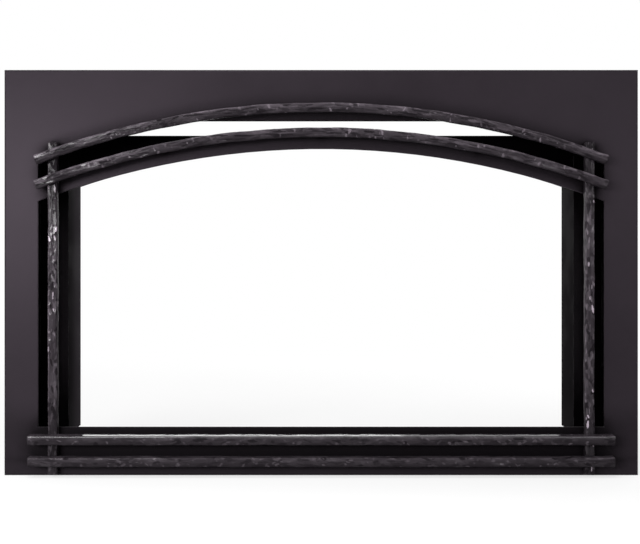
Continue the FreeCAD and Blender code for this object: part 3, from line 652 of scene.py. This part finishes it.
@dataclass
class ForgedBar(NewPiece, ABC):
    """One hammered square bar that stands for its plain CAD bar.

    The pairs are: flare, height and reach at the ends; cover, least and most lacquer; rubbed_powers, of
    draw and peen tones; outward_light_lean, share in front and gain towards the outward side, as painted
    light; painted_edge_highlight, strength and width of the painted highlight on the outward front edge;
    small_shares, added to the share of wear and painted light and to the lacquer; crossing_shade, share and
    reach of the painted shade at crossings; painted_glint, tone at which small marks start to carry painted
    glints and how bright they get.
    """

    node: str
    seed: int
    roll: float
    proud: float = 0.0009
    squareness: float = 8.0
    columns: int = 72
    pitch: float = 0.001
    end_round: float = 0.003
    end_dome: float = 0.0006
    end_rows: tuple[float, ...] = (0.0, 0.0002, 0.0006, 0.0012, 0.002, 0.003)
    flare: Pair = (0.0006, 0.009)
    seat_reach: float = 0.011
    seat_edge: float = 1.5
    rear_share: float = 0.25
    top_flat: float = 0.0
    top_gain: float = 3.0
    top_cover: float = 0.0
    cover: Pair = (0.015, 0.6)
    middle_cover: float = 0.2
    lacquer_power: float = 1.6
    rubbed_powers: Pair = (1.0, 0.35)
    rubbed_floor: float = 0.4
    # Painted light: lighter towards the outward side, darker on the opposite one.
    outward_light_lean: Pair = (0.65, 0.6)
    # Painted highlight along the outward front edge.
    painted_edge_highlight: Pair = (0.5, 0.16)
    small_marks: Blows = NICKS
    small_shares: Pair = (0.7, 0.35)
    # Painted shade where other bars cross.
    crossing_shade: Pair = (0.5, 0.07)
    # Painted glints in the brightest small marks.
    painted_glint: Pair = (0.9, 0.0)
    wander: float = 0.0004
    swing: float = 0.01
    waves: tuple[float, ...] = (0.057, 0.113, 0.24)
    seed_step: int = 100
    finish: Finish = BAR_BLACK
    slot = Slot.BAR
    rider = Rider.FACE

    @property
    @abstractmethod
    def length(self) -> float:
        """Length of the centre line."""

    @abstractmethod
    def carry(self, along: Array) -> Arrays:
        """Give the centre line at distances from its start.

        Args:
            along: distances along the line, in metres.

        Returns:
            Points, and outward directions of the section, one row each.
        """

    def seats(self) -> list[float]:
        """Distances at which other bars cross in front of this one."""
        return []

    @property
    def side(self) -> float:
        """Thickness of the CAD bar."""
        low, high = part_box(self.node)
        return high.y - low.y

    def distances(self) -> Array:
        """Distances of the rings from end to end, closer together at both ends."""
        ends = np.array(self.end_rows)
        count = int(round((self.length - 2.0 * ends[-1]) / self.pitch))
        middle = np.linspace(ends[-1], self.length - ends[-1], count)
        return np.concatenate([ends[:-1], middle, self.length - ends[:-1][::-1]])

    def section(self) -> tuple[Array, Array, Array]:
        """Rounded square as a superellipse in polar form, rolled about its centre.

        The radius at an angle is half the side over the root of the summed powers of cosine and
        sine. The normal is the gradient of that sum. The roll turns the top face to the front.

        Returns:
            Angles, points and outward normals, each normal of length one.
        """
        angle = np.linspace(0.0, math.tau, self.columns, endpoint=False)
        way = np.stack([np.cos(angle), np.sin(angle)], axis=-1)
        power = np.abs(way) ** self.squareness
        radius = (self.side / 2.0 + self.proud) / power.sum(axis=1) ** (1.0 / self.squareness)
        normal = np.sign(way) * np.abs(way) ** (self.squareness - 1.0)
        normal /= np.linalg.norm(normal, axis=1, keepdims=True)
        turn = np.array([[math.cos(self.roll), math.sin(self.roll)],
                         [-math.sin(self.roll), math.cos(self.roll)]])
        return angle, radius[:, None] * way @ turn, normal @ turn

    def sway(self, along: Array, seed: int) -> Array:
        """Slow uneven drift along the bar: half the sum of sines of different wavelengths."""
        phases = np.random.default_rng(seed).uniform(0.0, math.tau, len(self.waves))
        return np.sin(math.tau * along[:, None] / np.array(self.waves) + phases).sum(axis=1) / 2.0

    def hammered(self, along: Array, angle: Array) -> tuple[Array, Tones]:
        """Inset of the surface: the sum of all kinds of marks, then rounded and slightly flared ends.

        The marks are less deep at the rear and on a flat top, and flat in front where other bars cross.

        Args:
            along: distances of the rings along the bar.
            angle: angle of each point around the section.

        Returns:
            Inset at each grid point, and the facet tones of each kind of mark.
        """
        turn = 4.0 * self.side
        grid = np.meshgrid(along, angle / math.tau * turn, indexing="ij")
        kinds = (LONG_FLATS, PEEN_MARKS, DRAW_MARKS, self.small_marks)
        insets, tones = zip(*[kind.press(*grid, self.length, turn, self.seed + self.seed_step * number)
                              for number, kind in enumerate(kinds)])
        inset = sum(insets)
        inset *= 1.0 - (1.0 - self.rear_share) * facing(-np.sin(angle))
        inset *= 1.0 - self.top_flat * facing(np.cos(angle), self.top_gain)
        for seat in self.seats():
            seated = np.clip(self.seat_edge - np.abs(along - seat) / self.seat_reach, 0.0, 1.0)
            inset *= 1.0 - seated[:, None] * facing(np.sin(angle))
        left = np.minimum(along, self.length - along)
        corner = np.clip(self.end_round - left, 0.0, None)
        inset += (self.end_round - np.sqrt(self.end_round ** 2 - corner ** 2))[:, None]
        height, reach = self.flare
        inset -= (height * np.exp(-(left / reach) ** 2))[:, None]
        return inset, tones

    def surface(self) -> tuple[Array, Array, Array]:
        """Carry the section along the centre line, hammered, swaying and domed at both ends.

        Returns:
            Points of the rings, ring by ring, then the two poles, and the lacquer's cover and the share of
            wear and painted light at each.
        """
        along = self.distances()
        angle, outline, normal = self.section()
        inset, tones = self.hammered(along, angle)
        size = 1.0 + self.swing * self.sway(along, self.seed + 1)
        drift = self.wander * self.sway(along, self.seed + 2)
        flat = outline * size[:, None, None] - inset[..., None] * normal
        points, outward = self.carry(along)
        points = points + drift[:, None] * outward
        rings = points[:, None] + flat[..., :1] * outward[:, None] + flat[..., 1:] * FORWARD
        ways = points[[0, -1]] - points[[1, -2]]
        ways /= np.linalg.norm(ways, axis=1, keepdims=True)
        poles = rings[[0, -1]].mean(axis=1) + self.end_dome * ways
        ends = [self.cover[0]] * 2
        cover = np.append(self.lacquer(angle, tones), ends)
        rubbed_and_lit = np.append(self.rubbing_and_painted_light(along, angle, tones), ends)
        return np.concatenate([rings.reshape(-1, 3), poles]), cover, rubbed_and_lit

    def rubbing_and_painted_light(self, along: Array, angle: Array, tones: Tones) -> Array:
        """Share of wear and painted light: powers of the draw and peen tones, a painted highlight on the
        outward front edge, painted light towards the outward side, and more in small marks.

        It is less near the places where other bars cross, as painted shade, and goes past one in marks that
        carry painted glints.

        Args:
            along: distances of the rings along the bar.
            angle: angle of each point around the section.
            tones: facet tones of each kind of mark.

        Returns:
            Share at each grid point, from dark to rubbed bright.
        """
        flats, peen, drawn, small = tones
        # Painted highlight along the outward front edge.
        height, width = self.painted_edge_highlight
        edge = height * np.exp(-((angle - math.pi / 4.0) / width) ** 2)
        rubbed_and_lit = drawn ** self.rubbed_powers[0] * peen ** self.rubbed_powers[1]
        rubbed_and_lit *= self.rubbed_floor + (1.0 - self.rubbed_floor) * flats
        # Painted light: lighter towards the outward side.
        middle, lean = self.outward_light_lean
        rubbed_and_lit *= np.clip(middle + lean * np.cos(angle), 0.0, 1.0)
        rubbed_and_lit = np.clip(rubbed_and_lit + edge * peen + self.small_shares[0] * small, 0.0, 1.0)
        # Painted shade where other bars cross.
        share, reach = self.crossing_shade
        for seat in self.seats():
            rubbed_and_lit *= 1.0 - share * np.exp(-((along - seat) / reach) ** 2)[:, None]
        # Painted glints: the brightest small marks go past one.
        start, bright = self.painted_glint
        return rubbed_and_lit + bright * np.clip((small - start) / (1.0 - start), 0.0, 1.0)

    def lacquer(self, angle: Array, tones: Tones) -> Array:
        """Cover of lacquer: thin in front, fuller along the edges, none on the flanks, its own on top.

        It changes from facet to facet, by the product of their tones to a power, and lies in small marks.

        Args:
            angle: angle of each point around the section.
            tones: facet tones of each kind of mark.

        Returns:
            Cover at each grid point, from none to full.
        """
        flats, peen, _, small = tones
        edge = self.middle_cover + (1.0 - self.middle_cover) * np.sin(2.0 * angle) ** 2
        facet = (flats * peen) ** self.lacquer_power * edge + self.small_shares[1] * small
        low, high = self.cover
        cover = (low + (high - low) * np.clip(facet, 0.0, 1.0)) * (1.0 - facing(np.abs(np.cos(angle))))
        return cover + self.top_cover * facing(np.cos(angle))

    def build(self) -> None:
        """Build the bar and write its shares on its points."""
        points, cover, rubbed_and_lit = self.surface()
        mesh = self.put("hammered", points, grid_faces(len(points) // self.columns, self.columns))
        for name, share in ((LACQUER, cover), (RUBBED_AND_LIT, rubbed_and_lit)):
            written = mesh.attributes.new(name, "FLOAT", "POINT")
            written.data.foreach_set("value", share.astype(np.float32))


@dataclass
class ArchBar(ForgedBar):
    """Bar bent to a shallow arch, whose crown, depth and ends come from the CAD bar's box."""

    radius: float = ARCH_RADIUS

    @property
    def half_angle(self) -> float:
        """Angle from the crown to an end."""
        return math.asin(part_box(self.node)[1].x / (self.radius + self.side / 2.0))

    @property
    def length(self) -> float:
        """Arc length from end to end."""
        return 2.0 * self.half_angle * self.radius

    def carry(self, along: Array) -> Arrays:
        """Centre plus radius times the sine and cosine of the angle from the crown."""
        low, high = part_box(self.node)
        centre = np.array([0.0, (low.y + high.y) / 2.0, high.z - self.side / 2.0 - self.radius])
        angle = along / self.radius - self.half_angle
        outward = np.stack([np.sin(angle), np.zeros_like(angle), np.cos(angle)], axis=-1)
        return centre + self.radius * outward, outward


@dataclass
class StraightBar(ForgedBar):
    """Straight bar through the middle of the CAD bar's box."""

    direction: Place = (1.0, 0.0, 0.0)
    outward: Place = (0.0, 0.0, 1.0)

    @property
    def length(self) -> float:
        """Extent of the box along the bar."""
        low, high = np.array(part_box(self.node))
        return float((high - low) @ np.array(self.direction))

    def carry(self, along: Array) -> Arrays:
        """Start plus distance times direction; the section never turns."""
        low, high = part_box(self.node)
        start = np.where(self.direction, low, (low + high) / 2.0)
        points = start + along[:, None] * np.array(self.direction)
        return points, np.broadcast_to(np.array(self.outward), points.shape)


@dataclass
class RailBar(StraightBar):
    """Level bar with a flat top and evenly worn flecks."""

    top_flat: float = 0.85
    cover: Pair = (0.02, 0.7)
    rubbed_powers: Pair = (0.15, 0.6)
    # A weaker painted highlight along the top front edge.
    painted_edge_highlight: Pair = (0.15, 0.16)
    small_marks: Blows = FLECKS
    wander: float = 0.0002
    swing: float = 0.006
    finish: Finish = RAIL_BLACK


@dataclass
class PostBar(StraightBar):
    """Upright bar behind the others, plain in front where they cross it, with painted glints in some of its
    streaks.
    """

    direction: Place = (0.0, 0.0, 1.0)
    outward: Place = (-1.0, 0.0, 0.0)
    cover: Pair = (0.03, 0.8)
    rubbed_powers: Pair = (0.2, 1.3)
    # Painted light: a little lighter on the outward side.
    outward_light_lean: Pair = (0.8, 0.1)
    # Painted glints in the brightest streaks.
    painted_glint: Pair = (0.8, 2.6)
    small_marks: Blows = STREAKS
    arch_radius: float = ARCH_RADIUS
    arches: tuple[str, ...] = ("upper_arch_rail", "lower_arch_rail")
    rails: tuple[str, ...] = ("upper_sill_rail", "lower_sill_rail")

    def seats(self) -> list[float]:
        """Heights of the rails' middles, and of the arches' centre lines at this post."""
        low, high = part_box(self.node)
        middle = (low + high) / 2.0
        drop = self.arch_radius - math.sqrt(self.arch_radius ** 2 - middle.x ** 2)
        levels = [(below.z + above.z) / 2.0 for below, above in map(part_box, self.rails)]
        return levels + [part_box(arch)[1].z - self.side / 2.0 - drop for arch in self.arches]


BARS = (
    ArchBar("upper_arch_rail", seed=11, roll=0.14),
    ArchBar("lower_arch_rail", seed=21, roll=0.13),
    RailBar("upper_sill_rail", seed=41, roll=0.12, top_cover=1.0),
    RailBar("lower_sill_rail", seed=51, roll=0.05),
    PostBar("left_post", seed=71, roll=0.08),
    PostBar("right_post", seed=81, roll=-0.08),
)


def group_boxes(node: str) -> list[Arrays]:
    """Boxes of the separate solids in one CAD group.

    Corners at the same place share one number. Every triangle passes its lowest number on to its
    corners until nothing changes, and then each solid has a single number.

    Args:
        node: name of the CAD group.

    Returns:
        Lowest and highest corner of each solid.
    """
    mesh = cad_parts[node].data
    points = np.empty((len(mesh.vertices), 3), np.float32)
    mesh.vertices.foreach_get("co", points.ravel())
    corners = np.empty(len(mesh.loops), np.int32)
    mesh.loops.foreach_get("vertex_index", corners)
    places, number = np.unique(np.round(points, WELD_DIGITS), axis=0, return_inverse=True)
    triangles = number.reshape(-1)[corners].reshape(-1, 3)
    mark = np.arange(len(places))
    settled = False
    while not settled:
        passed = mark.copy()
        np.minimum.at(passed, triangles.ravel(), np.repeat(mark[triangles].min(axis=1), 3))
        passed = passed[passed]
        settled = bool((passed == mark).all())
        mark = passed
    solids = [places[mark == one] for one in np.unique(mark)]
    return [(solid.min(axis=0), solid.max(axis=0)) for solid in solids]


@dataclass(frozen=True)
class Turned(ABC):
    """A small turned piece: radius over the angle and the distance along its axis, in metres."""

    columns: int = 48
    hollow = False

    @abstractmethod
    def outline(self, angle: Array, length: float, radius: float) -> Arrays:
        """Give the piece's outline.

        Args:
            angle: angles around the axis, from straight up.
            length: length of the CAD solid.
            radius: half of the CAD solid's height across the axis.

        Returns:
            Distances of the rows, and radii with one row each and one column per angle.
        """

    def surface(self, low: Array, high: Array, axis: Array, ahead: int) -> tuple[Array, Faces]:
        """Carry the outline round the axis, inside the CAD solid's box.

        A point is the axis point at its distance, plus the radius times cosine upward and sine sideways.

        Args:
            low: lowest corner of the CAD solid.
            high: highest corner of the CAD solid.
            axis: direction of the axis, from the piece's first end.
            ahead: number of vertices that come before the piece's own.

        Returns:
            Points and faces.
        """
        angle = np.linspace(0.0, math.tau, self.columns, endpoint=False)
        length = float(np.abs(axis) @ (high - low))
        first = (low + high) / 2.0 - axis * length / 2.0
        distance, radii = self.outline(angle, length, float(high[2] - low[2]) / 2.0)
        radii = np.broadcast_to(radii, (distance.size, self.columns))
        way = np.cos(angle)[:, None] * UPWARD + np.sin(angle)[:, None] * np.cross(axis, UPWARD)
        middle = first + distance[:, None] * axis
        points = (middle[:, None] + radii[..., None] * way).reshape(-1, 3)
        if not self.hollow:
            points = np.concatenate([points, middle[[0, -1]]])
        return points, grid_faces(distance.size, self.columns, self.hollow, ahead)


@dataclass(frozen=True)
class Collar(Turned):
    """Round ring with a bore and cut edges, such as a washer or a standoff tube."""

    bore: float = 0.00265
    edge: float = 0.0002
    hollow = True

    def outline(self, angle: Array, length: float, radius: float) -> Arrays:
        """Rectangle from bore to rim with its four corners cut."""
        near, far = self.edge, length - self.edge
        distance = np.array([near, 0.0, 0.0, near, far, length, length, far])
        inner, rim = self.bore + self.edge, radius - self.edge
        radii = np.array([self.bore, inner, rim, radius, radius, rim, inner, self.bore])
        return distance, radii[:, None]


@dataclass(frozen=True)
class HexNut(Turned):
    """Six-sided nut with turned chamfers at both ends."""

    bore: float = 0.0026
    chamfer: float = 0.0007
    face_share: float = 0.96
    steps: int = 6
    hollow = True

    def outline(self, angle: Array, length: float, radius: float) -> Arrays:
        """Lower of the hexagon's radius and the chamfer cone's radius at every point."""
        sixth = math.pi / 3.0
        hexagon = radius / np.cos((angle + sixth / 2.0) % sixth - sixth / 2.0)
        rise = np.linspace(0.0, 1.0, self.steps)
        cone = radius * (self.face_share + (1.0 / math.cos(sixth / 2.0) - self.face_share) * rise)
        distance = np.concatenate([[0.0], self.chamfer * rise, length - self.chamfer * rise[::-1], [length]])
        radii = np.concatenate([[self.bore], cone, cone[::-1], [self.bore]])
        return distance, np.minimum(radii[:, None], hexagon)


@dataclass(frozen=True)
class ThreadedStud(Turned):
    """Stud with a cut thread and chamfered ends."""

    columns: int = 24
    pitch: float = 0.0008
    depth: float = 0.0004
    chamfer: float = 0.0006
    rows_per_turn: int = 6

    def outline(self, angle: Array, length: float, radius: float) -> Arrays:
        """Radius less a triangle wave that climbs one pitch per turn, and less the chamfers."""
        distance = np.linspace(0.0, length, int(length / self.pitch * self.rows_per_turn))
        climb = distance[:, None] / self.pitch - angle / math.tau
        groove = self.depth * np.abs(climb % 1.0 - 0.5) * 2.0
        ends = np.clip(self.chamfer - np.minimum(distance, length - distance), 0.0, None)
        return distance, radius - np.maximum(groove, ends[:, None])


@dataclass(frozen=True)
class Rivet(Turned):
    """Rivet with a domed head, a shank and a hammered, bulging tail."""

    crown: float = 0.0016
    dome_arc: Pair = (0.1, 1.0)
    shank: float = 0.002
    tail: float = 0.003
    tail_arc: Pair = (-0.5, 0.45)
    set_height: float = 0.0015
    steps: int = 8

    def outline(self, angle: Array, length: float, radius: float) -> Arrays:
        """Quarter ellipse for the head, straight shank, half ellipse for the tail."""
        dome = np.linspace(*self.dome_arc, self.steps) * math.pi / 2.0
        bulge = np.linspace(*self.tail_arc, self.steps) * math.pi
        grip = length - self.set_height
        distance = np.concatenate([self.crown * (1.0 - np.cos(dome)), [self.crown, grip],
                                   grip + self.set_height * (np.sin(bulge) + 1.0) / 2.0])
        spread = self.shank + (self.tail - self.shank) * np.cos(bulge)
        radii = np.concatenate([radius * np.sin(dome), [self.shank, self.shank], spread])
        return distance, radii[:, None]


@dataclass(frozen=True)
class HangerPin(Turned):
    """Turned pin: riveted tail, shoulder, neck that hangs in the slot, and cap."""

    sheet: float = 0.002
    shoulder: float = 0.012
    cap: float = 0.002
    tail: float = 0.003
    neck: float = 0.004
    edge: float = 0.0005

    def outline(self, angle: Array, length: float, radius: float) -> Arrays:
        """Steps from tail to cap, with cut edges."""
        step, cut = self.edge, radius - self.edge
        seat, stop, head = self.sheet, self.sheet + self.shoulder, length - self.cap
        distance = np.array([0.0, step, seat, seat, seat + step, stop - step, stop, stop, head, head,
                             head + step, length - step, length])
        radii = np.array([self.tail - step, self.tail, self.tail, cut, radius, radius, cut, self.neck,
                          self.neck, cut, radius, radius, cut])
        return distance, radii[:, None]


@dataclass(frozen=True)
class FastenerGroup(NewPiece):
    """Turned pieces that stand for all solids of one CAD group."""

    node: str
    kind: Turned
    finish: Finish = ZINC
    slot: Slot = Slot.PLATED
    rider: Rider = Rider.FACE
    axis: Place = (0.0, 1.0, 0.0)
    crease: float = 0.6

    def build(self) -> None:
        """Build every piece of the group in one mesh."""
        points = np.empty((0, 3))
        faces: Faces = []
        for low, high in group_boxes(self.node):
            shape, sides = self.kind.surface(low, high, np.array(self.axis), len(points))
            points = np.concatenate([points, shape])
            faces += sides
        self.put("turned", points, faces, self.crease)


FASTENERS = (
    *(FastenerGroup(node, ThreadedStud())
      for node in ("crossing_studs", "upper_arch_studs", "post_top_studs", "standoff_studs")),
    FastenerGroup("stud_washers", Collar()),
    FastenerGroup("stud_nuts", HexNut()),
    FastenerGroup("standoffs", Collar(edge=0.0006), FRAME_PAINT, Slot.FRAME),
    FastenerGroup("left_hanger_pins", HangerPin(), axis=(1.0, 0.0, 0.0)),
    FastenerGroup("right_hanger_pins", HangerPin(), axis=(-1.0, 0.0, 0.0)),
    FastenerGroup("frame_rivets", Rivet(), FRAME_PAINT, Slot.FRAME, Rider.FRAME),
    FastenerGroup("bracket_rivets", Rivet(), FRAME_PAINT, Slot.FRAME, Rider.FRAME),
)


@dataclass(frozen=True)
class Dressing:
    """CAD nodes that keep their shape and take one finish."""

    finish: Finish
    nodes: tuple[str, ...]

    def dress(self) -> None:
        """Give every node the finish and report it."""
        for name in self.nodes:
            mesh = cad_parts[name].data
            mesh.materials.clear()
            mesh.materials.append(self.finish.material())
            log.info("%s: %s", name, self.finish.name)


DRESSINGS = (
    Dressing(PANEL_PAINT, ("surround_panel",)),
    Dressing(FRAME_PAINT, ("hood", "lintel", "sill", "left_hanger_bracket", "right_hanger_bracket")),
    # The left jamb takes the lit copy of the stove black and the right jamb the shaded copy, as painted
    # light and painted shade.
    Dressing(LIT_REVEAL_PAINT, ("left_jamb",)),
    Dressing(SHADED_REVEAL_PAINT, ("right_jamb",)),
)


@dataclass(frozen=True)
class Lamp:
    """One soft lamp: its name, place, width and height in metres, and power in watts."""

    name: str
    place: Place
    size: Pair
    power: float

    def build(self, aim: Place) -> None:
        """Hang the lamp so that it faces a point."""
        data = bpy.data.lights.new(self.name, "AREA")
        data.shape = "RECTANGLE"
        data.size, data.size_y = self.size
        data.energy = self.power
        lamp = bpy.data.objects.new(self.name, data)
        lamp.location = self.place
        lamp.rotation_euler = (Vector(aim) - Vector(self.place)).to_track_quat("-Z", "Y").to_euler()
        bpy.context.scene.collection.objects.link(lamp)


@dataclass
class Studio:
    """Floor, white surroundings, soft lamps and the camera."""

    eye: Place = (-0.0019, -1.55, 0.3259)
    lens: float = 52.7
    sensor: float = 36.0
    floor_reach: float = 12.0
    floor_tone: Colour = (0.82, 0.82, 0.82)
    floor_glow: Pair = (0.66, 1.0)
    floor_fade: Pair = (0.6, 2.2)
    ambient: float = 0.22
    aim: Place = (0.0, 0.0, 0.35)
    lamps: tuple[Lamp, ...] = (
        Lamp("key_lamp", (-1.1, -1.9, 0.6), (1.2, 0.45), 58.0),
        Lamp("fill_lamp", (1.15, -1.9, 0.66), (1.0, 0.5), 10.0),
        Lamp("top_lamp", (-0.3, -1.2, 2.0), (1.2, 1.0), 36.0),
        Lamp("back_lamp", (-0.5, 2.2, 1.5), (1.8, 1.0), 13.0),
        Lamp("rear_side_lamp", (1.4, 1.7, 0.8), (1.0, 1.0), 12.0),
        Lamp("left_lamp", (-2.3, 0.6, 0.9), (1.2, 1.2), 9.0),
        Lamp("right_lamp", (2.3, 0.6, 0.9), (1.2, 1.2), 9.0),
        Lamp("rear_low_lamp", (0.0, 2.6, 0.5), (1.6, 0.6), 12.0),
    )

    @staticmethod
    def seen(sheet: NodeSheet) -> Socket:
        """One for rays from the camera, a gloss or a clear surface, else zero."""
        ray = sheet.add("ShaderNodeLightPath").outputs
        either = sheet.math("MAXIMUM", ray["Is Camera Ray"], ray["Is Glossy Ray"])
        return sheet.math("MAXIMUM", either, ray["Is Transmission Ray"])

    def surroundings(self) -> None:
        """White world where it is seen, and a plain soft light elsewhere."""
        world = bpy.data.worlds.new("white_surroundings")
        world.use_nodes = True
        sheet = NodeSheet(world.node_tree)
        strength = sheet.spread(self.seen(sheet), 0.0, 1.0, self.ambient)
        light = sheet.add("ShaderNodeBackground", Color=WHITE, Strength=strength)
        sheet.add("ShaderNodeOutputWorld", Surface=light.outputs["Background"])
        bpy.context.scene.world = world

    def floor(self) -> None:
        """Pale level floor that fades to white and keeps the shadow."""
        reach = self.floor_reach
        corners = [(-reach, -reach, 0.0), (reach, -reach, 0.0), (reach, reach, 0.0), (-reach, reach, 0.0)]
        mesh = bpy.data.meshes.new("floor")
        mesh.from_pydata(corners, [], [[0, 1, 2, 3]])
        paint = bpy.data.materials.new("pale_floor")
        paint.use_nodes = True
        sheet = NodeSheet(paint.node_tree)
        matt = sheet.add("ShaderNodeBsdfDiffuse", Color=self.floor_tone)
        glow = sheet.add("ShaderNodeEmission", Color=WHITE, Strength=1.0)
        away = sheet.math("LENGTH", sheet.position(), kind="ShaderNodeVectorMath")
        share = sheet.times(self.seen(sheet), sheet.spread(away, *self.floor_fade, *self.floor_glow))
        mix = sheet.add("ShaderNodeMixShader")
        sheet.feed_in_order(mix, share, matt.outputs["BSDF"], glow.outputs["Emission"])
        sheet.add("ShaderNodeOutputMaterial", Surface=mix.outputs["Shader"])
        mesh.materials.append(paint)
        ground = bpy.data.objects.new("floor", mesh)
        bpy.context.scene.collection.objects.link(ground)

    def camera(self) -> None:
        """Straight-on camera at the photograph's view."""
        data = bpy.data.cameras.new("camera")
        data.sensor_fit = "HORIZONTAL"
        data.sensor_width = self.sensor
        data.lens = self.lens
        eye = bpy.data.objects.new("camera", data)
        eye.location = self.eye
        eye.rotation_euler = (math.pi / 2.0, 0.0, 0.0)
        bpy.context.scene.collection.objects.link(eye)
        bpy.context.scene.camera = eye

    def build(self) -> None:
        """Set up everything around the object."""
        self.surroundings()
        self.floor()
        for lamp in self.lamps:
            lamp.build(self.aim)
        self.camera()
        bpy.context.scene.view_settings.view_transform = "Standard"


def main() -> None:
    """Build the object's looks in order; each piece is reported as it is made."""
    logging.basicConfig(level=logging.INFO, format="%(name)s %(message)s")
    Studio().build()
    for piece in (*BARS, *FASTENERS):
        piece.build()
    for dressing in DRESSINGS:
        dressing.dress()


if __name__ == "__main__":
    main()
